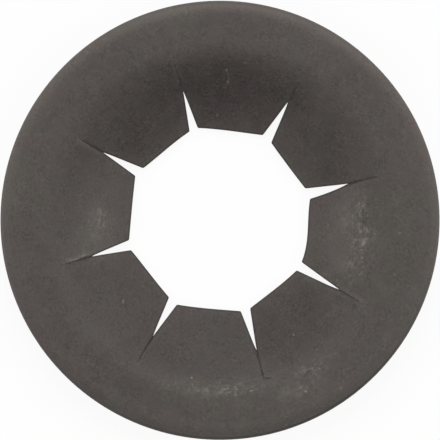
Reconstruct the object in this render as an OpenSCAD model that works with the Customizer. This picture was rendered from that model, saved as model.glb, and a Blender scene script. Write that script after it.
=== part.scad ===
// Push-on star retaining washer for an 8 mm plain shaft, one piece of spring steel strip.
// It lies on its prong tips with the flat bearing flange up, and the shaft's axis is the Z axis.

/* [Hole and prongs] */
// Number of prongs round the hole
prong_count = 8; // [6:1:10]
// Width across the hole between two opposite prong ends
hole_af = 7.67; // [7:0.01:8.4]
// Slope of the prongs below the flange, in degrees
prong_slope = 28; // [20:1:35]
// Distance from the axis at which the straight lines in a prong's surface would meet
prong_fan_r = 9; // [8:0.1:12]
// Radius of the two corners of a prong's end
tip_corner_r = 0.09; // [0.04:0.01:0.15]

/* [Slits and notches] */
// Width of the lanced slit between two prongs
slit_w = 0.07; // [0.04:0.01:0.15]
// Diameter of the circle on which the slits end
slit_end_d = 14.16; // [13.8:0.01:14.6]
// Diameter of the circle on which the V notches close into the slits
notch_apex_d = 11.44; // [10.6:0.01:12.4]
// Full angle of a V notch, in degrees
notch_angle = 14.7; // [8:0.1:18]

/* [Flange and rim] */
// Outside diameter of the washer
outer_d = 19; // [18.6:0.1:21]
// Thickness of the steel strip
strip_t = 0.4; // [0.3:0.01:0.5]
// Diameter at which the flat flange bends over into the prongs
flange_inner_d = 15.58; // [15:0.01:16.4]
// Radius of the bend from flange to prongs, on the bearing side
fold_r = 2.2; // [1.4:0.1:2.6]
// Radius of the turned-down rim, on the bearing side
rim_r = 0.66; // [0.55:0.01:0.8]
// Angle through which the rim is turned down, in degrees
rim_turn = 70; // [40:1:85]

/* [Hidden] */
$fn = 96;

// Pitch of the prongs round the hole
pitch = 360 / prong_count;
// Distance from the axis to a prong's end, on the bearing side
tip_r = hole_af / 2;
// Where the flat flange starts and ends
fold_start_r = flange_inner_d / 2;
rim_start_r = outer_d / 2 - rim_r * sin(rim_turn);
// How far the root of a prong runs into the fold and stands proud of it, so that the two are one piece
root_lap = 0.05;
root_proud = 0.002;
// Where the fold ends and the prongs begin, and how far down that is
root_r = fold_start_r - fold_r * sin(prong_slope);
root_drop = fold_r * (1 - cos(prong_slope)) - root_proud;
// Depth of a prong's end below the flange, and height of the flange over the lowest edge
tip_drop = root_drop + (root_r - tip_r) * tan(prong_slope);
flange_z = tip_drop + strip_t * cos(prong_slope);
// How far a shape that only trims another passes beyond the metal
reach = 2 * strip_t;

// Half section from the root of the prongs to the rim, with the bearing face on the X axis
module ring_section() {
    // The rim, turned down
    translate([rim_start_r, -rim_r])
        intersection() {
            difference() {
                circle(r = rim_r);
                circle(r = rim_r - strip_t);
            }
            square(outer_d);
            rotate(90 - rim_turn)
                square(outer_d);
        }
    // The flat flange between the two bends
    translate([fold_start_r, -strip_t])
        square([rim_start_r - fold_start_r, strip_t]);
    // The fold, down to a plumb wall at the root of the prongs
    intersection() {
        translate([fold_start_r, -fold_r])
            difference() {
                circle(r = fold_r);
                circle(r = fold_r - strip_t);
            }
        translate([root_r, -fold_r])
            square([fold_start_r - root_r, 2 * fold_r]);
    }
}

// Flange, rim and fold
module ring() {
    translate([0, 0, flange_z])
        rotate_extrude()
            ring_section();
}

// Outline of one prong in its own plane, with X up the prong from the middle of its end
module prong_outline() {
    half = pitch / 2;
    to_plane = 1 / cos(prong_slope);
    side_slope = tan(half + notch_angle / 2) * cos(prong_slope);
    side_a = atan(side_slope);
    apex_x = (notch_apex_d / 2 * cos(half) - tip_r) * to_plane;
    corner_y = notch_apex_d / 2 * sin(half) - apex_x * side_slope;
    top_x = (root_r - tip_r) * to_plane + reach;
    top_y = corner_y + top_x * side_slope;
    // The corner is rounded by a circle that touches the end and the side
    touch = tip_corner_r * tan(45 - side_a / 2);
    touch_x = touch * cos(side_a);
    touch_y = corner_y + touch * sin(side_a);
    polygon([
        [0, touch - corner_y],
        [touch_x, -touch_y],
        [top_x, -top_y],
        [top_x, top_y],
        [touch_x, touch_y],
        [0, corner_y - touch]
    ]);
    for (side = [-1, 1])
        translate([tip_corner_r, side * (corner_y - touch)])
            circle(r = tip_corner_r, $fn = 32);
}

// The pressed sheet that a prong is cut from, in the frame of the prong.
// It is bent round a shallow cone that fits the fold at the root, so the end stays nearly flat.
module prong_sheet() {
    half = pitch / 2;
    slit_x = (prong_fan_r - root_r * cos(half)) / cos(prong_slope);
    slit_y = root_r * sin(half);
    slit_rise = root_r * (1 - cos(half)) * sin(prong_slope);
    cone_slope = (sqrt(slit_x * slit_x + slit_y * slit_y + slit_rise * slit_rise) - slit_x) / slit_rise;
    cone_a = atan(cone_slope);
    cone_h = prong_fan_r * cos(cone_a) + reach;
    translate([(prong_fan_r - tip_r) / cos(prong_slope), 0, 0])
        rotate([0, cone_a - 90, 0])
            difference() {
                translate([0, 0, -strip_t / sin(cone_a)])
                    cylinder(h = cone_h, r1 = 0, r2 = cone_h * cone_slope);
                cylinder(h = cone_h, r1 = 0, r2 = cone_h * cone_slope);
            }
}

// The room that one prong has up to two slits, reaching a little way into each
module prong_sector() {
    half = pitch / 2;
    translate([slit_w / 4 / sin(half), 0, -reach])
        linear_extrude(flange_z + 2 * reach)
            polygon([
                [0, 0],
                [outer_d * cos(half), outer_d * sin(half)],
                [outer_d * cos(half), -outer_d * sin(half)]
            ]);
}

// One prong, centred on the X axis
module prong() {
    intersection() {
        translate([tip_r, 0, flange_z - tip_drop])
            rotate([0, -prong_slope, 0])
                intersection() {
                    prong_sheet();
                    translate([0, 0, -reach])
                        linear_extrude(2 * reach)
                            prong_outline();
                }
        prong_sector();
        translate([0, 0, -reach])
            cylinder(h = flange_z + 2 * reach, r = root_r + root_lap);
    }
}

// The lanced slits, from the hole out to their ends in the fold
module slits() {
    for (i = [0 : prong_count - 1])
        rotate((i + 0.5) * pitch)
            translate([0, -slit_w / 2, -reach])
                cube([slit_end_d / 2, slit_w, flange_z + 2 * reach]);
}

module washer() {
    color("#57524e")
        difference() {
            union() {
                ring();
                for (i = [0 : prong_count - 1])
                    rotate(i * pitch)
                        prong();
            }
            slits();
        }
}

washer();
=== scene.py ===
import math
from collections import namedtuple

import bmesh
import bpy
import numpy as np
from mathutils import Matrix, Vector


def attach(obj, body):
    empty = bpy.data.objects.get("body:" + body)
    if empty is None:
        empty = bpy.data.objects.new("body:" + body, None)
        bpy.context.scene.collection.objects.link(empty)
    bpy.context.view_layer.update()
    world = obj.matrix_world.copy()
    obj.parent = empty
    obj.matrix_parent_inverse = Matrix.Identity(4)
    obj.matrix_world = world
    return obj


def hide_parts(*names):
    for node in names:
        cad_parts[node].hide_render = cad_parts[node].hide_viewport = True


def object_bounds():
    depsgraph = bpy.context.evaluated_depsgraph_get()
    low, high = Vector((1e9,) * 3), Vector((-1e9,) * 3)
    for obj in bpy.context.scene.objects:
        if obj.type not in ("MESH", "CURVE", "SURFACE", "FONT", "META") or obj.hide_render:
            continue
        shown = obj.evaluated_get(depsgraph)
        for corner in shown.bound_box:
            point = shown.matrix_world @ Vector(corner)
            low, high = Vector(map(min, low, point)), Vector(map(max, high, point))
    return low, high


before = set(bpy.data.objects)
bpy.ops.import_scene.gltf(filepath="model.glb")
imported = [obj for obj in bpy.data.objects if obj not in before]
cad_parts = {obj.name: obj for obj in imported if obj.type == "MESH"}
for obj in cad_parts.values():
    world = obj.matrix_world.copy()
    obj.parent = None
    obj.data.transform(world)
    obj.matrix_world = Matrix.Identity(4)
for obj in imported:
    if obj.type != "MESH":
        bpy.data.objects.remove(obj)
cad_low, cad_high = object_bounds()

# The washer: one piece of tempered spring steel strip. It is blanked with eight V notches round its hole,
# lanced with a slit at each notch, and pressed into a dish with a rolled rim. It is drawn below as the flat
# blank, in mm and degrees, one sheet of points for each prong, and then goes through the same steps.
mm = 0.001
strip_t = 0.4

# The notches are not quite regular. Each one: its direction, where its two sides would cross, the lean and
# bow of its right side and of its left side, where its slit ends, and how far the slit has strayed there
Notch = namedtuple("Notch", "direction crossing right_lean right_bow left_lean left_bow slit_end stray")
notches = [
    Notch(22.75, 5.735, 5.3, -0.037, 9.7, 0.0, 7.04, -0.03),
    Notch(66.9, 5.94, 6.9, 0.0, 7.2, 0.0, 6.92, 0.0),
    Notch(112.7, 5.78, 5.3, 0.0, 7.0, 0.0, 7.12, 0.10),
    Notch(156.67, 5.82, 8.3, 0.0, 6.0, 0.0, 7.10, 0.03),
    Notch(202.5, 5.77, 7.4, 0.0, 6.6, 0.0, 6.95, 0.02),
    Notch(246.8, 5.765, 7.3, 0.0, 7.1, 0.0, 7.10, -0.03),
    Notch(292.5, 5.85, 5.8, 0.0, 7.0, 0.0, 7.14, -0.05),
    Notch(336.6, 6.06, 5.1, 0.0, 5.8, 0.0, 7.14, -0.02),
]
# Each prong, from the notch of the same number on: the direction it points from, the distance of its end,
# how hollow and how lopsided the end is, and how much higher than the lowest prong it stands
Prong = namedtuple("Prong", "direction tip_r hollow skew lift")
prongs = [
    Prong(43.6, 3.780, -0.015, 0.0, 0.02),
    Prong(90.6, 3.862, 0.029, -0.021, 0.0),
    Prong(135.3, 3.825, 0.022, 0.032, 0.03),
    Prong(181.3, 3.830, 0.011, 0.005, 0.01),
    Prong(225.7, 3.805, 0.007, -0.015, 0.04),
    Prong(271.0, 3.816, 0.032, 0.014, 0.0),
    Prong(316.1, 3.773, 0.032, -0.024, 0.03),
    Prong(359.2, 3.735, 0.083, 0.104, 0.05),
]
prong_count = len(prongs)
tip_corner_r = 0.045
# How fast the shape of the end fades out in the rows up the prong
end_fade = 1.5

# A lanced slit is nearly closed from the first share of its length on, and tapers off from the second. It
# strays to one side with a ripple, and wanders on its way, no two slits alike
slit_gap = 0.006
slit_closed_at = 0.3
slit_tapers_from = 0.8
stray_ripple, stray_ripple_rate = 0.2, 7
slit_wander, wander_rate, wander_shift = 0.0045, 10, 2.6

# Where the press starts the fold and the rim, and how far it rolls the rim down
fold_start_r = 7.79
rim_start_r = 8.901
rim_r = 0.66
rim_turn = math.radians(70)

# Points lie closer together at the corners of a prong, towards the end of a slit and at the fold
corner_steps = np.array([0, 2, 3.2, 4.7, 6.9, 9.9])
mid_steps = corner_steps[-1] + 4 * np.arange(19)
notch_steps = np.concatenate([corner_steps, mid_steps[1:10]]) / mid_steps[9]
far_corner_steps = mid_steps[-1] + corner_steps[-1] - corner_steps[-2::-1]
across_steps = np.concatenate([corner_steps[:-1], mid_steps, far_corner_steps])
across_steps /= across_steps[-1]
slit_steps = np.array([0, 4, 8, 12, 16, 20, 24, 28, 32, 34, 36, 38, 39, 40]) / 40
fold_steps = np.array([0, 1, 2, 4, 6, 9, 12, 15, 18]) / 18
flange_steps = np.linspace(0, 1, 6)
rim_steps = np.linspace(0, 1, 13)


def ease(low, high, value):
    """Goes softly from 0 to 1 as the value goes from low to high"""
    t = np.clip((value - low) / (high - low), 0, 1)
    return t * t * (3 - 2 * t)


def arch(t):
    """Goes from 0 up to 1 at the middle and back to 0"""
    return 4 * t * (1 - t)


def polar(q, az):
    """The point at a distance from the axis and in a direction"""
    return np.array([q * math.cos(math.radians(az)), q * math.sin(math.radians(az))])


def plan_polar(spots):
    """Distances from the axis and directions of points, seen in plan"""
    return np.hypot(spots[..., 0], spots[..., 1]), np.degrees(np.arctan2(spots[..., 1], spots[..., 0]))


def wrapped(az, near):
    """The same direction, given as an angle within half a turn of another"""
    return near - 180 + (az - near + 180) % 360


def sector(i):
    """The notches before and after prong i, and their directions as one rising pair"""
    before, after = notches[i], notches[(i + 1) % prong_count]
    return before, after, before.direction, after.direction + (360 if after is notches[0] else 0)


def strayed(notch, t):
    """How far the slit has strayed sideways at a share t of its length"""
    return notch.stray * t**2 * (1 + stray_ripple * math.sin(stray_ripple_rate * t))


def notch_line(i, j, hand):
    """Side of notch j along prong i and on along the slit; hand is 1 before the prong, -1 after it"""
    notch = notches[j]
    lean_deg, bow = (notch.left_lean, notch.left_bow) if hand > 0 else (notch.right_lean, notch.right_bow)
    lean = math.tan(math.radians(lean_deg)) * hand
    out, left = polar(1, notch.direction), polar(1, notch.direction + 90)
    prong_out = polar(1, prongs[i].direction)
    reach = prongs[i].tip_r - lean * notch.crossing * (prong_out @ left)
    reach /= prong_out @ out - lean * (prong_out @ left)
    corner = reach * out + lean * (notch.crossing - reach) * left
    both_leans = math.tan(math.radians(notch.left_lean)) + math.tan(math.radians(notch.right_lean))
    meet = notch.crossing - slit_gap / both_leans
    start = meet * out + lean * (notch.crossing - meet) * left
    side = [corner + (start - corner) * t - hand * left * bow * arch(t) for t in notch_steps]
    start_q, start_gap = start @ out, start @ left
    for t in slit_steps[1:]:
        wander = slit_wander * math.sin(wander_rate * t + wander_shift * j) * arch(t)
        closing = ease(0, slit_closed_at, t)
        half_gap = slit_gap / 2 * closing * (1 - ease(slit_tapers_from, 1, t))
        sideways = strayed(notch, t) + wander + start_gap * (1 - closing) + hand * half_gap
        side.append((start_q + (notch.slit_end - start_q) * t) * out + sideways * left)
    return np.array(side)


def rounded(points, corner, toward_side, toward_end, size):
    """Rounds a corner of the blank, and draws what lies near it in with it"""
    tiny = 1e-6
    basis = np.linalg.inv(np.stack([toward_end, toward_side], 1) * size)
    s, t = np.moveaxis((points - corner) @ basis.T, -1, 0)
    inner = np.minimum(s, t).clip(0, 1)
    far = np.maximum(s, t) - inner
    near = (np.maximum(s, t) < 1) & (np.minimum(s, t) > -tiny)
    share = np.clip(far / np.maximum(1 - inner, tiny), 0, 1)
    # A point slides along its own curve, which runs from one edge to the other inside the corner
    k = np.where(s > t, 0.5 - share / 2, 0.5 + share / 2)
    new_s = (1 - k) ** 2 + (1 - (1 - k) ** 2) * inner
    new_t = k**2 + (1 - k**2) * inner
    moved = corner + (new_s[..., None] * toward_end + new_t[..., None] * toward_side) * size
    return np.where(near[..., None], moved, points)


def blank_grid(i):
    """Rows of points over the blank from the end of prong i to the rim, and the row of the slits' ends"""
    before, after, az_a, az_b = sector(i)
    rows_a, rows_b = list(notch_line(i, i, 1)), list(notch_line(i, (i + 1) % prong_count, -1))
    corner_a, corner_b = rows_a[0], rows_b[0]
    side_a, side_b = rows_a[1] - rows_a[0], rows_b[1] - rows_b[0]
    last_slit_row = len(rows_a) - 1
    # Beyond the slits the two edges of the sheet run on to the rim, back in the direction of the notch
    turned_a, turned_b = (math.degrees(strayed(notch, 1) / notch.slit_end) for notch in (before, after))
    q_a, q_b = (float(np.hypot(*rows[-1])) for rows in (rows_a, rows_b))
    stops = [fold_start_r, rim_start_r, rim_start_r + rim_r * rim_turn]
    for k, (stop, steps) in enumerate(zip(stops, (fold_steps, flange_steps, rim_steps))):
        for t in steps[1:]:
            back = (1 - ease(0, 1, t)) if k == 0 else 0
            rows_a.append(polar(q_a + (stop - q_a) * t, az_a + turned_a * back))
            rows_b.append(polar(q_b + (stop - q_b) * t, az_b + turned_b * back))
        q_a = q_b = stop
    rows_a, rows_b = np.array(rows_a), np.array(rows_b)
    u = across_steps
    (far_a, turn_a), (far_b, turn_b) = plan_polar(rows_a), plan_polar(rows_b)
    q = np.outer(far_a, 1 - u) + np.outer(far_b, u)
    az = np.outer(wrapped(turn_a, az_a), 1 - u) + np.outer(wrapped(turn_b, az_b), u)
    grid = np.stack([q * np.cos(np.radians(az)), q * np.sin(np.radians(az))], -1)
    # The rows at the end of the prong are straight, hollow or lopsided as the end itself
    prong = prongs[i]
    hollow = arch(u) * (prong.hollow - prong.skew * (2 * u - 1))
    end_row = np.outer(1 - u, corner_a) + np.outer(u, corner_b)
    end_row += np.outer(hollow, polar(1, prong.direction))
    fade = np.clip(1 - np.arange(len(grid)) / last_slit_row, 0, 1) ** end_fade
    grid = grid + fade[:, None, None] * (end_row - grid[0])[None]
    for corner, side, other in ((corner_a, side_a, corner_b), (corner_b, side_b, corner_a)):
        end = other - corner
        grid = rounded(grid, corner, side / np.linalg.norm(side), end / np.linalg.norm(end), tip_corner_r)
    return grid, last_slit_row


# The press bends the fold round, leans the prongs in, leaves their ends nearly flat and rolls the rim down.
fold_r = 2.2
prong_slope = math.radians(28)
root_r = fold_start_r - fold_r * math.sin(prong_slope)
# The usual distance of a prong's end, where a prong of that slope touches the table
usual_tip_r = 3.835
flange_z = cad_high.z / mm
# How far short of its slits' ends a prong is still straight across, and how far short it is round already
straight_until, round_from = 2.0, 0.02
# The slits' walls are sheared at a lean, so that no light comes up through them. The lean sets in at the
# notches and fades out beyond the slits
slit_lean = 0.24
lean_sets_in, lean_fades = (5.25, 5.75), (7.2, 7.7)


def pressed_face(x, y, i):
    """Where the press leaves a point of the blank's bearing face, in the sector of prong i"""
    before, after, start, stop = sector(i)
    prong = prongs[i]
    q, az = np.hypot(x, y), wrapped(np.degrees(np.arctan2(y, x)), start)
    slit_end = before.slit_end + (after.slit_end - before.slit_end) * (az - start) / (stop - start)
    # A prong is bent across its own direction, and beyond the slits the metal is bent round the axis
    flat = 1 - ease(slit_end - straight_until, slit_end - round_from, q)
    reach = q * (1 - flat * (1 - np.cos(np.radians(az - prong.direction))))
    end_r = prong.tip_r + min(prong.hollow, 0)
    slope = (math.tan(prong_slope) * (root_r - usual_tip_r) - prong.lift) / (root_r - end_r)
    bend = np.clip(fold_start_r - reach, 0, fold_r * math.sin(prong_slope))
    drop = fold_r - np.sqrt(fold_r**2 - bend**2) + slope * np.clip(root_r - reach, 0, None)
    turn = np.clip(q - rim_start_r, 0, None) / rim_r
    r = np.where(turn > 0, rim_start_r + rim_r * np.sin(turn), q)
    z = flange_z - drop - rim_r * (1 - np.cos(turn))
    return np.stack([r * np.cos(np.radians(az)), r * np.sin(np.radians(az)), z], -1)


def pressed(blank, i, depth):
    """Points of the pressed washer, at a depth under the bearing face"""
    q = np.hypot(blank[..., 0], blank[..., 1])
    shift = slit_lean * depth * ease(*lean_sets_in, q) * (1 - ease(*lean_fades, q)) / q
    x = blank[..., 0] * np.cos(shift) - blank[..., 1] * np.sin(shift)
    y = blank[..., 1] * np.cos(shift) + blank[..., 0] * np.sin(shift)
    step = 1e-4
    here = pressed_face(x, y, i)
    along = pressed_face(x + step, y, i) - pressed_face(x - step, y, i)
    across = pressed_face(x, y + step, i) - pressed_face(x, y - step, i)
    normal = np.cross(along, across)
    normal /= np.linalg.norm(normal, axis=-1, keepdims=True)
    return here - normal * np.asarray(depth)[..., None]


# The sheared edges: the punch has drawn the bearing face round at the edge, less along the slits, and has
# left a small radius on the back. The rim's edge is rounder.
roll_over = 0.035
slit_roll_over = 0.015
burr_side = 0.015
rim_round = 0.09
rim_back_round = 0.05
quarter_turn = np.radians([0, 25, 50, 72, 90])
mid_wall = (0.33, 0.67)


def edge_wall(line, inward, i, top, bottom):
    """The cut edge along a line of the blank, from the bearing face round to the back"""
    wall = []
    for a in quarter_turn:
        in_from_edge = inward * (top * (1 - math.sin(a)))[..., None]
        wall.append(pressed(line + in_from_edge, i, top * (1 - math.cos(a))))
    for t in mid_wall:
        wall.append(pressed(line, i, top + (strip_t - top - bottom) * t))
    for a in quarter_turn:
        in_from_edge = inward * (bottom * (1 - math.cos(a)))[..., None]
        wall.append(pressed(line + in_from_edge, i, strip_t - bottom * (1 - math.sin(a))))
    return np.array(wall)


# Where handling has rubbed the face: direction, distance, reach across and along the circle, strength
rub_marks = [
    (1, 6.22, 0.38, 2.1, 1.4), (3, 5.65, 0.55, 1.8, 0.5), (188, 5.22, 0.45, 0.6, 1.2),
    (199, 6.15, 0.35, 0.5, 0.5), (274, 7.32, 0.35, 2.0, 0.65), (283, 7.36, 0.28, 0.9, 0.9),
    (302, 8.10, 0.25, 0.4, 1.1), (309, 7.60, 0.34, 0.6, 1.6),
]
# Where the washer is paler or darker as a whole, given the same way. Most patches differ at random, but the
# dark patch on the prongs at 103 is painted shade where they face away from the lamps, and the pale one along
# the fold at 268 is a painted highlight
tone_and_light_patches = [
    (6, 5.4, 1.0, 1.8, 0.26), (7, 6.2, 0.4, 0.5, -0.10), (7, 7.4, 0.2, 0.8, -0.10),
    (17, 6.1, 0.4, 0.6, 0.16), (27, 5.2, 0.8, 0.7, -0.16), (27, 8.7, 0.35, 1.2, 0.10),
    (37, 5.3, 1.0, 1.2, -0.13), (47, 5.6, 0.8, 0.8, -0.08), (67, 6.1, 0.5, 0.8, -0.15),
    (67, 7.1, 0.7, 0.6, -0.10), (82, 8.2, 0.6, 2.6, 0.07), (87, 7.55, 0.3, 0.9, 0.09),
    (103, 5.75, 1.7, 4.4, -0.49), (103, 7.75, 0.3, 3.5, 0.09), (107, 5.5, 0.4, 0.8, 0.07),
    (117, 5.1, 1.0, 0.8, 0.09), (147, 5.1, 0.7, 0.7, -0.16), (167, 5.0, 0.9, 0.8, 0.12),
    (187, 8.4, 0.7, 1.3, -0.10), (188, 5.4, 0.3, 0.6, 0.12), (190, 5.1, 0.9, 1.4, 0.43),
    (196, 5.7, 0.5, 0.5, 0.10), (197, 6.2, 0.8, 0.6, 0.15), (207, 7.1, 0.4, 1.0, 0.10),
    (210, 8.1, 0.6, 1.5, -0.06), (227, 8.2, 0.6, 1.5, -0.06), (247, 8.3, 0.7, 2.0, -0.12),
    (267, 6.3, 0.5, 2.0, -0.08), (268, 7.46, 0.33, 2.6, 0.17), (277, 8.7, 0.35, 2.0, -0.07),
    (288, 5.0, 1.5, 3.2, -0.22), (298, 7.95, 0.24, 0.35, 0.32), (299, 7.95, 0.3, 0.7, 0.14),
    (307, 6.6, 0.5, 1.0, -0.07), (307, 8.0, 0.7, 1.2, 0.14), (315, 5.6, 1.4, 1.3, -0.12),
    (317, 6.2, 0.3, 0.7, -0.10), (327, 5.1, 0.9, 0.8, -0.20), (337, 6.1, 0.8, 0.6, -0.07),
    (347, 5.5, 0.3, 0.6, 0.12), (347, 5.9, 0.6, 0.7, 0.17), (357, 6.5, 0.4, 0.5, 0.10),
]
# Where it is a little greener (above 0) or redder
hue_patches = [
    (0, 7.6, 1.4, 3.5, 0.32), (90, 5.2, 1.5, 3.5, -0.28), (193, 5.3, 0.9, 1.3, 0.30),
    (270, 7.4, 0.5, 2.6, 0.40), (298, 8.0, 0.5, 0.6, 0.45), (315, 5.2, 1.5, 2.0, -0.30),
]
# Where a slit has a rubbed lip, or one side lies in its neighbour's shade: notch, on its right, on its left.
# The mark fades over the first columns of points beside the slit
slit_lips = {0: (0.0, -0.15), 3: (-0.15, 0.25), 4: (0.45, -0.25), 7: (0.0, 0.22)}
lip_columns = (1, 0.8, 0.4)


def patches(spots, table):
    """Sum of soft patches at points of the washer"""
    q, az = plan_polar(spots)
    total = np.zeros(q.shape)
    for direction, distance, across, along, strength in table:
        arc = np.radians(wrapped(az, direction) - direction) * distance
        total += strength * np.exp(-(((q - distance) / across) ** 2) - (arc / along) ** 2)
    return total


# The rim is painted paler, a painted highlight where the lamps catch it: its roll most on one side, toward
# the overhead panel, and its outermost edge most at two opposite ends, toward the side panels. The thin line
# just inside the edge is painted shade, dark most of all in one place
brow_reach, roll_reach, edge_reach = (8.5, 8.9), (8.95, 9.35), (9.36, 9.46)
roll_lit_at, edge_lit_at, line_dark_at = 95, 7, 317


def rim_highlight(q, az):
    """How much paler the rolled rim is painted: a little on its brow, and a painted highlight on its roll and
    edge
    """
    on_roll = 0.24 + 0.25 * np.cos(np.radians(az - roll_lit_at))
    on_edge = 0.22 * np.cos(np.radians(az - edge_lit_at)) ** 2
    return 0.06 * ease(*brow_reach, q) + on_roll * ease(*roll_reach, q) + on_edge * ease(*edge_reach, q)


def rim_shade_round(az):
    """How dark the thin line of painted shade just inside the rim's edge is, round the washer"""
    turn = np.radians(az - edge_lit_at)
    darkest = np.cos(np.radians(az - line_dark_at)).clip(0) ** 6
    return 0.14 - 0.10 * np.sin(turn) - 0.15 * np.cos(2 * turn) + 0.28 * darkest


# The sheets of the eight sectors are joined to one closed mesh. It carries the wear marks and the painted
# light and shade from point to point and, for the dark lines of painted shade there, the distance from the
# nearest cut and from the rim's edge.
points, faces = [], []
marks = {name: [] for name in ("face", "cut_edge", "rim_edge", "rim_shade", "wear", "tone_and_light", "green")}
# The distance that is given where the other edge is too far off to matter
well_away = 9.0
# How far from a slit's end its edges are fully rounded, and where along the slit they get finer
edge_taper = 0.3
finer_in_slit = (5.5, 6.8)
# The dark line of painted shade along the cuts gets thinner: by how much, from and to which distance
line_thins = ((0.03, 5.7, 6.0), (0.07, 6.0, 7.1))
notch_rows = len(notch_steps)


def add_sheet(grid, flip, from_cut, from_rim, is_face, lip=0.0):
    """Adds a sheet of four-sided faces over rows of points"""
    first = sum(len(p) for p in points)
    rows, columns = grid.shape[:2]
    points.append(grid.reshape(-1, 3))
    q, az = plan_polar(grid)
    sheet_marks = {
        "face": is_face,
        "cut_edge": from_cut,
        "rim_edge": from_rim,
        "rim_shade": rim_shade_round(az),
        "wear": patches(grid, rub_marks) * is_face,
        "tone_and_light": (patches(grid, tone_and_light_patches) + lip) * is_face + rim_highlight(q, az),
        "green": patches(grid, hue_patches),
    }
    for name, values in sheet_marks.items():
        marks[name].append(np.broadcast_to(values, (rows, columns)).reshape(-1))
    for r in range(rows - 1):
        for c in range(columns - 1):
            k = first + r * columns + c
            quad = (k, k + 1, k + columns + 1, k + columns)
            faces.append(quad[::-1] if flip else quad)


for i in range(prong_count):
    grid, last_slit_row = blank_grid(i)
    cut_rows = last_slit_row + 1
    # The cut line comes in along one slit, goes round the prong's end and runs out along the other slit
    line = np.concatenate([grid[last_slit_row::-1, 0], grid[0, 1:-1], grid[:cut_rows, -1]])
    tangent = np.gradient(line, axis=0)
    tangent /= np.linalg.norm(tangent, axis=1, keepdims=True)
    inward = np.stack([tangent[:, 1], -tangent[:, 0]], 1)
    from_ends = np.minimum(np.linalg.norm(line - line[0], axis=1), np.linalg.norm(line - line[-1], axis=1))
    taper = ease(0, edge_taper, from_ends)
    in_slit = ease(*finer_in_slit, np.hypot(*line.T))
    top = (roll_over - (roll_over - slit_roll_over) * in_slit) * taper
    wall = edge_wall(line, inward, i, top, burr_side * taper)
    rim_line = grid[-1]
    rim_inward = -rim_line / np.linalg.norm(rim_line, axis=1, keepdims=True)
    rim_top, rim_bottom = np.full(len(rim_line), rim_round), np.full(len(rim_line), rim_back_round)
    rim_wall = edge_wall(rim_line, rim_inward, i, rim_top, rim_bottom)
    # A slit's lips set in where the notch runs into the slit, and fade over its last four rows
    lip = np.zeros(grid.shape[:2])
    row = np.arange(cut_rows)
    along = ease(notch_rows - 2, notch_rows + 1, row) * (1 - ease(cut_rows - 4, cut_rows, row))
    for column, share in enumerate(lip_columns):
        lip[:cut_rows, column] = slit_lips.get(i, (0, 0))[1] * share * along
        lip[:cut_rows, -1 - column] = slit_lips.get((i + 1) % prong_count, (0, 0))[0] * share * along
    q = np.hypot(grid[..., 0], grid[..., 1])
    from_cut = np.linalg.norm(grid[:, :, None] - line[None, None], axis=-1).min(-1)
    from_cut += sum(less * ease(low, high, q) for less, low, high in line_thins)
    from_rim = np.hypot(*rim_line[0]) - rim_round - q
    end_stop = cut_rows + grid.shape[1] - 2
    for is_face in (True, False):
        depth, edge, rim_edge = (0.0, wall[0], rim_wall[0]) if is_face else (strip_t, wall[-1], rim_wall[-1])
        sheet = pressed(grid, i, np.full(grid.shape[:2], depth))
        sheet[:cut_rows, 0] = edge[:cut_rows][::-1]
        sheet[0, 1:-1] = edge[cut_rows:end_stop]
        sheet[:cut_rows, -1] = edge[end_stop:]
        sheet[-1] = rim_edge
        add_sheet(sheet, is_face, from_cut, from_rim, is_face, lip)
    add_sheet(wall, False, 0.0, well_away, False)
    add_sheet(rim_wall, True, well_away, 0.0, False)

mesh = bpy.data.meshes.new("washer_steel")
mesh.from_pydata((np.concatenate(points) * mm).tolist(), [], faces)
for name, values in marks.items():
    attribute = mesh.attributes.new(name, "FLOAT", "POINT")
    attribute.data.foreach_set("value", np.concatenate(values).astype(np.float32))
shape = bmesh.new()
shape.from_mesh(mesh)
bmesh.ops.remove_doubles(shape, verts=shape.verts, dist=1e-5 * mm)
shape.to_mesh(mesh)
shape.free()
mesh.shade_smooth()
washer = bpy.data.objects.new("washer_steel", mesh)
bpy.context.scene.collection.objects.link(washer)


class Wire:
    """An output of a shader node that can be reckoned with like a number. New nodes go into Wire.tree"""

    tree = None

    def __init__(self, socket):
        self.socket = socket

    @classmethod
    def node(cls, kind, output, values, **settings):
        """Makes a node from its settings and its sockets' values or wires, and gives one of its outputs"""
        made = cls.tree.nodes.new(kind)
        for name, setting in settings.items():
            setattr(made, name, setting)
        for name, value in values.items():
            if isinstance(name, int):
                socket = made.inputs[name]
            else:
                socket = next(s for s in made.inputs if s.enabled and s.name == name)
            if isinstance(value, cls):
                cls.tree.links.new(value.socket, socket)
            else:
                socket.default_value = value
        return cls(next(s for s in made.outputs if s.enabled and s.name == output)) if output else None

    @classmethod
    def reckon(cls, operation, *values):
        """Works out one operation on wires and numbers"""
        return cls.node("ShaderNodeMath", "Value", dict(enumerate(values)), operation=operation)

    def __add__(self, other):
        return self.reckon("ADD", self, other)

    def __radd__(self, other):
        return self.reckon("ADD", other, self)

    def __sub__(self, other):
        return self.reckon("SUBTRACT", self, other)

    def __rsub__(self, other):
        return self.reckon("SUBTRACT", other, self)

    def __mul__(self, other):
        return self.reckon("MULTIPLY", self, other)

    def __rmul__(self, other):
        return self.reckon("MULTIPLY", other, self)

    def rise(self, low, high):
        """Goes softly from 0 to 1 as this value goes from low to high"""
        values = {"Value": self, "From Min": low, "From Max": high}
        return self.node("ShaderNodeMapRange", "Result", values, interpolation_type="SMOOTHSTEP")


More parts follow.
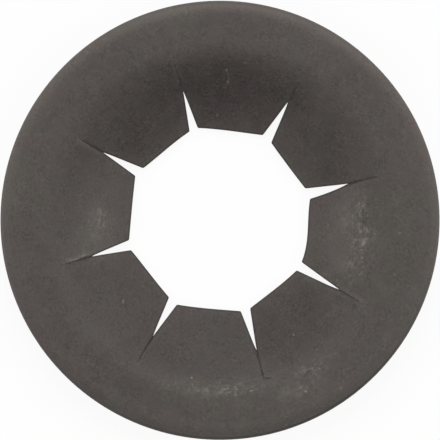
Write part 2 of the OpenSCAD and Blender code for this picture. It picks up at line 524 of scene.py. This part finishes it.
# The steel is coated with dark brown-grey zinc phosphate: matt, finely grained and mottled. Handling has
# rubbed it paler on the fold and on some prongs. Painted highlights make the rim and a line along the lower
# fold paler, painted shade darkens the prongs on the lamps' side, and thin lines of painted shade run in the
# slits and along the sheared edges and the rim's edge.
steel = bpy.data.materials.new("phosphated_spring_steel")
steel.use_nodes = True
steel.node_tree.nodes.clear()
Wire.tree = steel.node_tree
spot = Wire.node("ShaderNodeTexCoord", "Object", {})


def blotches(size, detail=2.0, roughness=0.5, where=spot):
    """Soft random blotches of a size in mm, from about -1 to 1"""
    values = {"Vector": where, "Scale": 1 / (size * mm), "Detail": detail, "Roughness": roughness}
    return Wire.node("ShaderNodeTexNoise", "Fac", values) * 2.0 - 1.0


def mesh_mark(name):
    """What the mesh carries from point to point under a name"""
    return Wire.node("ShaderNodeAttribute", "Fac", {}, attribute_name=name)


clouds = blotches(3.2)
mottle = blotches(0.5, 3.0, 0.6)
coarse_places = (0.5 + 1.3 * blotches(0.7)).rise(0.0, 1.0)
grain = blotches(0.10, 2.0, 0.6) * (0.35 + 0.75 * coarse_places)
wear, tone_and_light, green, rim_shade = (mesh_mark(name) for name in ("wear", "tone_and_light", "green", "rim_shade"))
from_cut, from_rim = mesh_mark("cut_edge"), mesh_mark("rim_edge")

# Rub marks run round the washer or straight across it, so their patterns are drawn out along and across the
# circle: one counts fewer mm to a radian than there are at the fold, the other counts less of the distance
drawn_along = 3.0 * mm
fold_arc = 6.6 * mm
drawn_across = 0.4
x, y, z = (Wire.node("ShaderNodeSeparateXYZ", axis, {"Vector": spot}) for axis in "XYZ")
radius = Wire.reckon("SQRT", x * x + y * y)
turn = Wire.reckon("ARCTAN2", x, -1.0 * y)
along_circle, across_circle = (
    Wire.node("ShaderNodeCombineXYZ", "Vector", {"X": radius * stretch, "Y": turn * arc, "Z": z})
    for stretch, arc in ((1.0, drawn_along), (drawn_across, fold_arc))
)
strokes = blotches(0.13, 3.0, 0.7, along_circle)
cross_strokes = blotches(0.12, 2.0, 0.6, across_circle)
bright_strokes = (0.2 + 1.7 * strokes + 0.8 * mottle).rise(0.1, 1.2)
bright_cross_strokes = (0.1 + 1.8 * cross_strokes).rise(0.2, 1.2)
dark_strokes = (0.2 - 1.7 * strokes).rise(0.3, 1.2)
rubbed = wear * (0.6 * bright_strokes + 0.5 * bright_cross_strokes - 0.12 * dark_strokes)

# Single flecks and scratches: direction, distance, length, width, the way the length points, how bright or
# dark. A fleck is even out to one share of its half size and has faded away at the other
flecks = [
    (2.0, 6.70, 0.18, 0.07, 7, 0.3), (2.4, 6.13, 0.20, 0.07, 97, 0.35), (2.6, 6.14, 0.22, 0.10, 66, 0.3),
    (2.8, 7.79, 0.18, 0.06, 7, 0.7), (3.2, 6.36, 0.26, 0.09, 100, 0.6), (5.6, 6.66, 0.20, 0.05, 7, 0.35),
    (6.3, 6.21, 0.20, 0.08, 97, -0.2), (7.2, 6.30, 0.30, 0.14, 97, -0.15), (8.9, 6.95, 0.24, 0.08, 97, 0.2),
    (10.6, 6.20, 0.18, 0.09, 97, -0.35), (10.6, 6.29, 0.16, 0.07, 97, 0.35),
    (12.8, 6.27, 0.12, 0.09, 97, 0.3), (13.2, 5.99, 0.20, 0.09, 45, 0.3), (13.3, 6.46, 0.16, 0.14, 0, -0.2),
    (14.5, 6.82, 0.20, 0.06, 170, 0.25), (22.4, 6.85, 0.28, 0.09, 20, -0.3),
    (22.7, 6.50, 0.40, 0.10, 22, 0.32), (66.7, 6.86, 0.13, 0.10, 0, -0.3),
    (66.9, 6.35, 1.10, 0.24, 67, -0.12), (87.8, 6.90, 0.14, 0.09, 7, 0.4),
    (93.6, 6.00, 0.15, 0.11, 97, 0.6), (93.7, 6.25, 0.40, 0.05, 105, 0.4),
    (94.4, 6.51, 0.14, 0.10, 97, 0.6), (95.1, 5.75, 0.20, 0.05, 20, 0.3), (98.5, 4.55, 0.10, 0.10, 0, 0.4),
    (112.8, 6.10, 0.60, 0.26, 113, -0.12), (112.9, 6.97, 0.10, 0.07, 0, -0.35),
    (113.4, 6.85, 0.10, 0.09, 0, 0.6), (115.0, 7.05, 0.20, 0.14, 97, -0.12),
    (120.4, 5.95, 0.12, 0.08, 97, 0.2), (182.1, 5.29, 0.22, 0.07, 70, 0.35),
    (182.6, 5.19, 0.30, 0.08, 114, 0.55), (185.9, 6.69, 0.30, 0.05, 97, 0.2),
    (189.9, 5.99, 0.14, 0.10, 7, 0.2), (201.4, 6.10, 0.26, 0.10, 52, 0.4),
    (202.1, 6.48, 0.45, 0.07, 18, 0.4), (202.7, 6.75, 0.22, 0.08, 20, -0.3),
    (226.2, 5.52, 0.20, 0.06, 97, -0.3), (226.8, 5.47, 0.20, 0.12, 90, 0.7),
    (246.8, 6.88, 0.40, 0.10, 247, -0.18), (264.0, 6.10, 0.18, 0.05, 7, 0.25),
    (265.3, 6.45, 0.18, 0.06, 7, 0.3), (265.5, 5.13, 0.14, 0.07, 97, 0.25),
    (266.6, 7.42, 0.26, 0.07, 97, 0.25), (266.7, 6.91, 0.10, 0.09, 0, 1.2),
    (267.4, 7.21, 0.20, 0.10, 97, 0.25), (269.4, 7.42, 0.30, 0.12, 7, 0.2),
    (272.3, 7.30, 0.25, 0.13, 7, 0.2), (275.7, 7.50, 0.22, 0.05, 7, 0.3),
    (275.9, 7.02, 0.14, 0.06, 97, 0.3), (276.9, 7.44, 0.40, 0.11, 4, 0.3),
    (277.6, 7.40, 0.20, 0.07, 30, 0.35), (279.5, 7.14, 0.28, 0.06, 7, 0.3),
    (279.5, 7.27, 0.28, 0.06, 12, 0.3), (279.8, 7.44, 0.24, 0.06, 7, 0.35),
    (282.1, 7.22, 0.15, 0.09, 97, 0.3), (287.3, 7.49, 0.17, 0.08, 20, 0.9),
    (288.0, 7.31, 0.35, 0.06, 33, 0.3), (292.4, 6.90, 0.50, 0.14, 292, -0.30),
    (293.6, 7.12, 0.42, 0.10, 7, -0.32), (303.5, 8.27, 0.12, 0.09, 7, 1.2),
    (306.3, 7.50, 0.20, 0.07, 97, 0.3), (308.4, 7.50, 0.32, 0.07, 28, 0.4),
    (309.6, 5.89, 0.12, 0.07, 97, 0.9), (310.7, 7.72, 0.10, 0.10, 0, 0.7),
    (312.6, 8.94, 0.19, 0.16, 0, 0.3), (325.6, 6.18, 0.10, 0.10, 0, 0.3),
    (346.6, 6.53, 0.22, 0.07, 97, 0.3), (349.0, 6.52, 0.18, 0.08, 137, 0.35),
    (349.6, 7.89, 0.13, 0.12, 0, 0.25), (350.5, 6.42, 0.15, 0.07, 7, 0.4),
    (352.2, 6.35, 0.16, 0.12, 7, 0.6), (354.0, 6.33, 0.15, 0.06, 7, 0.35),
    (358.1, 6.29, 0.50, 0.20, 66, 0.5), (358.8, 5.95, 0.14, 0.10, 97, 0.35),
]
fleck_even, fleck_gone = 0.35, 1.35
flecked = 0.0
for direction, distance, length, width, slant, strength in flecks:
    values = {
        "Vector": spot, "Location": (*(polar(distance, direction) * mm), 0),
        "Rotation": (0, 0, math.radians(slant)),
        "Scale": (fleck_gone * length / 2 * mm, fleck_gone * width / 2 * mm, 1),
    }
    inside = Wire.node("ShaderNodeMapping", "Vector", values, vector_type="TEXTURE")
    oval = Wire.node("ShaderNodeTexGradient", "Fac", {"Vector": inside}, gradient_type="SPHERICAL")
    flecked = flecked + strength * oval.rise(0.0, 1.0 - fleck_even / fleck_gone)
speckle = blotches(0.16, 1.0) - 0.5 * mottle
light_specks = wear * speckle.rise(0.30, 0.75) + 0.6 * speckle.rise(0.42, 0.80)
dark_specks = (-1.0 * blotches(0.19, 1.0)).rise(0.42, 0.75)
# Painted shade: a thin dark line along the cuts and in the slits
painted_cut_line = 1.0 - 0.26 * (1.0 - from_cut.rise(0.065, 0.105))
soft_edge = 1.0 + 0.10 * (1.0 - from_cut.rise(0.09, 0.4))
# Painted shade: the thin dark line just inside the rim's edge
painted_rim_line = 1.0 - rim_shade * (from_rim.rise(0.03, 0.09) - from_rim.rise(0.15, 0.22))

# The coat with its random patches, the painted shade on the prongs on the lamps' side, and the painted
# highlights on the rim and the lower fold
finish_and_light = 1.0 + tone_and_light + 0.16 * clouds + 0.22 * mottle + 0.60 * grain
handling = 1.6 * rubbed + 0.7 * light_specks - 0.25 * dark_specks + 1.5 * mesh_mark("face") * flecked
shade = (finish_and_light + handling) * (soft_edge * painted_cut_line) * painted_rim_line
hue = (0.5 + green + 0.6 * blotches(0.9) + 0.5 * clouds).rise(0.0, 1.0)
brown_grey, green_grey = (0.0775, 0.0632, 0.0596, 1), (0.0712, 0.0652, 0.0562, 1)
greys = {"Factor": hue, "A": brown_grey, "B": green_grey}
tint = Wire.node("ShaderNodeMix", "Result", greys, data_type="RGBA")
colour = Wire.node("ShaderNodeVectorMath", "Vector", {0: tint, "Scale": shade}, operation="SCALE")
height = 0.6 * grain + 0.4 * mottle + 0.5 * rubbed
bump = Wire.node("ShaderNodeBump", "Normal", {"Height": height, "Distance": 0.003 * mm, "Strength": 1.0})
surface = Wire.node("ShaderNodeBsdfPrincipled", "BSDF", {
    "Base Color": colour, "Roughness": 0.56 + 0.10 * mottle - 0.10 * rubbed, "Specular IOR Level": 0.25,
    "Normal": bump,
})
Wire.node("ShaderNodeOutputMaterial", None, {"Surface": surface})
mesh.materials.append(steel)
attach(washer, "root")
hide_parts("washer")

# The table: a plain white sheet of matt board under the washer. It keeps a faint shadow of the washer,
# and it can be looked through from below.
board_half = 1.0
board_white = 0.92
floor = bpy.data.objects.new("floor", bpy.data.meshes.new("floor"))
corners = [(board_half * a, board_half * b, 0) for a, b in ((-1, -1), (1, -1), (1, 1), (-1, 1))]
floor.data.from_pydata(corners, [], [(0, 1, 2, 3)])
bpy.context.scene.collection.objects.link(floor)
board = bpy.data.materials.new("white_board")
board.use_nodes = True
board.node_tree.nodes.clear()
Wire.tree = board.node_tree
camera_ray, glossy_ray, transmission_ray = (
    Wire.node("ShaderNodeLightPath", f"Is {kind} Ray", {}) for kind in ("Camera", "Glossy", "Transmission")
)
white = Wire.node("ShaderNodeEmission", "Emission", {"Color": (1, 1, 1, 1), "Strength": 1.0})
matt = Wire.node("ShaderNodeBsdfDiffuse", "BSDF", {"Color": (0.9, 0.9, 0.9, 1)})
clear = Wire.node("ShaderNodeBsdfTransparent", "BSDF", {})
seen_white = board_white * (camera_ray + glossy_ray + transmission_ray)
paper = Wire.node("ShaderNodeMixShader", "Shader", {0: seen_white, 1: matt, 2: white})
from_below = Wire.node("ShaderNodeNewGeometry", "Backfacing", {})
both_sides = Wire.node("ShaderNodeMixShader", "Shader", {0: from_below, 1: paper, 2: clear})
Wire.node("ShaderNodeOutputMaterial", None, {"Surface": both_sides})
floor.data.materials.append(board)

# The light: an even white room, a soft overhead panel a little toward the top of the picture, which
# draws the pale line along the lower fold, and three weaker panels at the top and at both sides.
# The direction on the washer that points up in the picture
photo_up = 96.9
panel_size = 0.2
panel_distance = 0.5
world = bpy.data.worlds.new("studio")
bpy.context.scene.world = world
world.use_nodes = True
world.node_tree.nodes.clear()
Wire.tree = world.node_tree
room = Wire.node("ShaderNodeBackground", "Background", {"Color": (1, 1, 1, 1), "Strength": 0.58})
backdrop = Wire.node("ShaderNodeBackground", "Background", {"Color": (1, 1, 1, 1), "Strength": 1.0})
seen = Wire.node("ShaderNodeLightPath", "Is Camera Ray", {})
sky = Wire.node("ShaderNodeMixShader", "Shader", {0: seen, 1: room, 2: backdrop})
Wire.node("ShaderNodeOutputWorld", None, {"Surface": sky})


def panel(name, power, zenith, azimuth):
    """A square lamp that shines on the washer from an angle off the axis and a direction round it"""
    data = bpy.data.lights.new(name, "AREA")
    data.size = panel_size
    data.energy = power
    lamp = bpy.data.objects.new(name, data)
    bpy.context.scene.collection.objects.link(lamp)
    tilt, heading = math.radians(zenith), math.radians(azimuth)
    toward = Vector((math.sin(tilt) * math.cos(heading), math.sin(tilt) * math.sin(heading), math.cos(tilt)))
    lamp.location = toward * panel_distance
    lamp.rotation_euler = toward.to_track_quat("Z", "Y").to_euler()


panel("overhead", 0.68, 28, photo_up)
panel("top_side", 0.38, 60, photo_up)
panel("left_side", 0.28, 52, photo_up + 90)
panel("right_side", 0.30, 52, photo_up - 90)

# The camera looks straight down the washer's axis, turned as the washer lies in the picture and a little off
# its middle. Its picture is as wide as the washer and a little air, at the height of the rim.
distance_mm = 350
frame_width = 19.027
rim_z = 1.73
off_centre = 0.013
camera = bpy.data.objects.new("camera", bpy.data.cameras.new("camera"))
bpy.context.scene.collection.objects.link(camera)
bpy.context.scene.camera = camera
camera.location = Vector((*polar(off_centre, photo_up), distance_mm + rim_z)) * mm
camera.rotation_euler = (0, 0, math.radians(photo_up - 90))
camera.data.lens = camera.data.sensor_width * distance_mm / frame_width
camera.data.clip_start, camera.data.clip_end = 0.01, 10
bpy.context.scene.view_settings.view_transform = "Standard"
